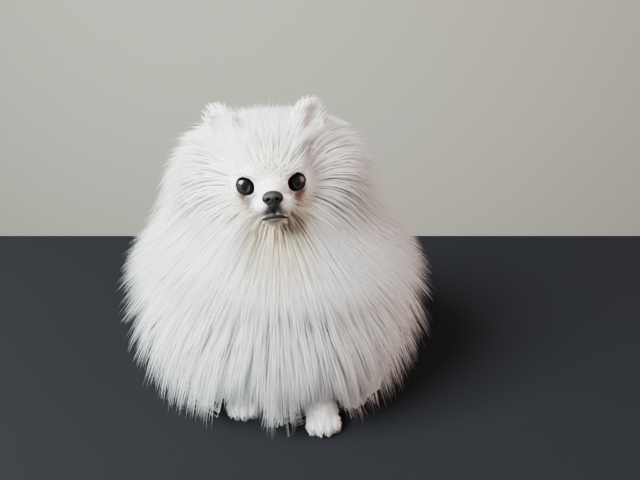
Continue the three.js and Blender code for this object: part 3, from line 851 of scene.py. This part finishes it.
widths = outline(SHORT_RINGS, 0.4)[None] * thick[:, None] * own
tips = centres[:, -1]
from_ear = np.minimum(*(ear_distance(into_head(tips), side) for side in SIDES))
seen = ~crosses_eye(centres) & ((coat_reach(tips)[0] < 6 * MM) | (from_ear < 8 * MM))
kept = [rows[seen] for rows in (centres, widths, patches, ways)]
build_tufts("coat_short", *kept, coat_material, soft=0.7)

# %% [markdown]
# ## Eyes
# A dog's eye is a wet ball with a clear cornea over a dark brown iris and a wide pupil. Only a round window
# of it shows between black-rimmed lids, and it mirrors the room as small bright spots.

# %% Eyes
eye_material, tree, shader = new_material("eye")
place = node(tree, "ShaderNodeNewGeometry").outputs["Position"]
base = None
for side in SIDES:
    gaze = from_head(mirrored(EYE_AT + mm(-1, -8.9, 0.1), side))
    far = node(tree, "ShaderNodeVectorMath", {0: place}, {1: tuple(map(float, gaze))}, operation="DISTANCE")
    ring = node(tree, "ShaderNodeMapRange", {"Value": far.outputs["Value"]},
                {"From Min": 3.2 * MM, "From Max": 4.6 * MM, "To Min": 1.0, "To Max": 0.0})
    pupil = ring.outputs["Result"]
    if base is not None:
        pupil = node(tree, "ShaderNodeMath", {0: base, 1: pupil}, operation="MAXIMUM").outputs["Value"]
    base = pupil
iris = node(tree, "ShaderNodeMix", {0: base}, {6: colour("2c2321"), 7: colour("0c0a0a")}, data_type="RGBA")
tree.links.new(iris.outputs[2], shader.inputs["Base Color"])
shader.inputs["Roughness"].default_value = 0.17
shader.inputs["IOR"].default_value = 1.45
for side in SIDES:
    bpy.ops.mesh.primitive_uv_sphere_add(segments=48, ring_count=32, radius=EYE_RADIUS)
    eye = bpy.context.object
    eye.name = "eyeball_" + side
    eye.data.transform(Matrix.Translation([float(v) for v in from_head(mirrored(EYE_AT, side))]))
    smooth(eye)
    eye.data.materials.append(eye_material)
    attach(eye, "root")
    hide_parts("eye_" + side)
print("eyeballs of", round(EYE_RADIUS * 2000, 1), "mm")

# %% [markdown]
# ## Nose
# The nose leather is a rounded pad of bare, damp, pebbled skin. Each nostril is a comma that runs out to the
# side, and a groove parts the pad down to the lip.

# %% Nose
nose_material, tree, shader = new_material("nose_leather")
shader.inputs["Base Color"].default_value = colour("1b1819")
shader.inputs["Roughness"].default_value = 0.46
shader.inputs["Specular IOR Level"].default_value = 0.25
pebble = node(tree, "ShaderNodeTexVoronoi", values={"Scale": 1600.0}, feature="SMOOTH_F1")
depth = {"Strength": 0.35, "Distance": 0.3 * MM}
bump = node(tree, "ShaderNodeBump", {"Height": pebble.outputs["Distance"]}, depth)
tree.links.new(bump.outputs["Normal"], shader.inputs["Normal"])


def nose_distance(p):
    h = (into_head(p) - NOSE_AT - mm(0, 0, 1)) / 0.93
    pad = ellipsoid(h, mm(0, 0, 0), mm(8.2, 5.4, 5.5))
    pad = blend(pad, ellipsoid(h, mm(0, 1, 2.2), mm(6.6, 4.6, 3.6)), 1.5 * MM)
    pad = blend(pad, ellipsoid(h, mm(0, -1, -4.2), mm(2.6, 3.6, 3.4)), 1.2 * MM)
    for side in SIDES:
        hole = ellipsoid(h, mirrored(mm(3.1, -4.8, -0.7), side), mm(1.5, 2.2, 1.35))
        comma = ellipsoid(h, mirrored(mm(5.3, -3.4, -1.6), side), mm(2.2, 1.6, 0.55))
        pad = carve(carve(pad, hole, 0.4 * MM), comma, 0.3 * MM)
    groove = ellipsoid(h, mm(0, -5.2, -3.6), mm(0.32, 1.1, 3.4))
    return carve(pad, groove, 0.3 * MM)


NOSE_PITCH = 0.35 * MM
nose_low = from_head(NOSE_AT) - mm(11, 9, 11)
nose_points, nose_faces = surface_of(nose_distance, nose_low, np.array([64, 54, 64]), NOSE_PITCH)
nose = mesh_object("nose_pad", nose_points, nose_faces, nose_material)
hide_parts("nose")
print("nose pad", len(nose_points), "points")

# %% [markdown]
# ## Lips
# The lips of this breed are black, tight and thin. They show as a dark line that drops from the nose, parts
# to both sides and turns down a little at the corners of the mouth.

# %% Lips
lip_material, _, shader = new_material("lips")
shader.inputs["Base Color"].default_value = colour("231d20")
shader.inputs["Roughness"].default_value = 0.6
shader.inputs["Specular IOR Level"].default_value = 0.15


def onto_skin(h, lift):
    p = from_head(h)
    for _ in range(8):
        gap = head_distance(p) - lift
        step = 0.4 * MM
        slope = np.stack([head_distance(p + axis * step) - head_distance(p - axis * step)
                          for axis in np.eye(3, dtype=np.float32)], axis=-1)
        p = p - unit(slope) * gap[:, None]
    return p, unit(slope)


LIP_RINGS, LIP_SIDES = 17, 6


def lip_line(name, ends, thick, thin):
    h = np.array([mm(*end) for end in ends])
    steps = np.linspace(0, 1, LIP_RINGS)
    places = np.stack([np.interp(steps, np.linspace(0, 1, len(h)), h[:, k]) for k in range(3)], axis=1)
    p, out = onto_skin(places.astype(np.float32), 0.3 * MM)
    along = unit(np.gradient(p, axis=0))
    side = unit(np.cross(along, out))
    turns = np.linspace(0, 2 * np.pi, LIP_SIDES, endpoint=False)
    full = np.sin(np.pi * steps) ** 0.7
    thickness = ((thin + (thick - thin) * full) * MM)[:, None, None]
    circle = side[:, None] * np.cos(turns)[None, :, None] + out[:, None] * np.sin(turns)[None, :, None]
    points = (p[:, None] + circle * thickness).reshape(-1, 3)
    faces = []
    for r in range(0, LIP_SIDES * (LIP_RINGS - 1), LIP_SIDES):
        for s in range(LIP_SIDES):
            after = (s + 1) % LIP_SIDES
            faces.append([r + s, r + after, r + LIP_SIDES + after, r + LIP_SIDES + s])
    faces += [list(range(LIP_SIDES))[::-1], list(range(len(points) - LIP_SIDES, len(points)))]
    made = mesh_object(name, points, faces, lip_material)
    print(name, len(points), "points")


CORNER = [(12, -9, -27), (8.5, -15, -24.8), (4.5, -19, -23), (0, -21, -22.2)]
lip_line("lip_middle", [(0, -27, -14), (0, -25, -18), (0, -21.5, -22.6)], 0.9, 0.9)
lip_line("lips", CORNER + [(-x, y, z) for x, y, z in CORNER[-2::-1]], 1.2, 0.4)

# %% [markdown]
# ## Claws
# The claws are dark horn and only their tips show between the hairs of the toes. They stay as the solids
# have them.

# %% Claws
claw_material, _, shader = new_material("claw")
shader.inputs["Base Color"].default_value = colour("4b4442")
shader.inputs["Roughness"].default_value = 0.35
for name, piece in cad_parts.items():
    if name.startswith("claw"):
        piece.data.materials.clear()
        piece.data.materials.append(claw_material)
print("claws", sum(name.startswith("claw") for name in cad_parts))

# %% [markdown]
# ## Light and stage
# The dog sits by a window at its right, and the room on its other side is warmer and dimmer. A charcoal
# floor and a plain grey wall are enough of a stage, because a white coat needs something darker round it.

# %% Stage and light
def plane(name, size, place, turn, code):
    bpy.ops.mesh.primitive_plane_add(size=size, location=place, rotation=turn)
    made = bpy.context.object
    made.name = name
    material, _, shader = new_material(name)
    shader.inputs["Base Color"].default_value = colour(code)
    shader.inputs["Roughness"].default_value = 0.9
    shader.inputs["Specular IOR Level"].default_value = 0.1
    made.data.materials.append(material)


plane("floor", 2.4, (0, -0.88, 0), (0, 0, 0), "16171a")
plane("wall", 6, (0, 1.4, 0.5), (math.pi / 2, 0, 0), "a19c8e")


def area_light(name, place, aim, size, power, code):
    data = bpy.data.lights.new(name, "AREA")
    data.size = size
    data.energy = power
    data.color = colour(code)[:3]
    made = bpy.data.objects.new(name, data)
    made.location = place
    made.rotation_euler = (Vector(aim) - Vector(place)).to_track_quat("-Z", "Y").to_euler()
    bpy.context.collection.objects.link(made)


WORLD_STRENGTH = 0.65
area_light("window", (-0.95, -0.75, 1.25), (0, -0.05, 0.17), 0.9, 165, "eff9f9")
area_light("room", (1.4, -0.6, 0.9), (0, -0.05, 0.15), 1.2, 24, "ffdccb")
world = bpy.data.worlds.new("room")
bpy.context.scene.world = world
world.use_nodes = True
world.node_tree.nodes["Background"].inputs["Color"].default_value = colour("b9c3d6")
world.node_tree.nodes["Background"].inputs["Strength"].default_value = WORLD_STRENGTH

# %% [markdown]
# ## Camera
# The viewer stands close in front of the dog and looks down at it by 23 degrees, with a phone's wide lens,
# so the head looks large for the body and the paws small.

# %% Camera
LENS, SENSOR = 27.56, 36
LOOKS_DOWN = 23
camera = bpy.data.cameras.new("camera")
camera.lens = LENS
camera.sensor_width = SENSOR
camera.dof.use_dof = False
viewer = bpy.data.objects.new("camera", camera)
viewer.location = (0.037, -0.476, 0.330)
viewer.rotation_euler = (math.radians(90 - LOOKS_DOWN), 0, 0)
bpy.context.collection.objects.link(viewer)
bpy.context.scene.camera = viewer
print("camera at", tuple(round(v, 3) for v in viewer.location))
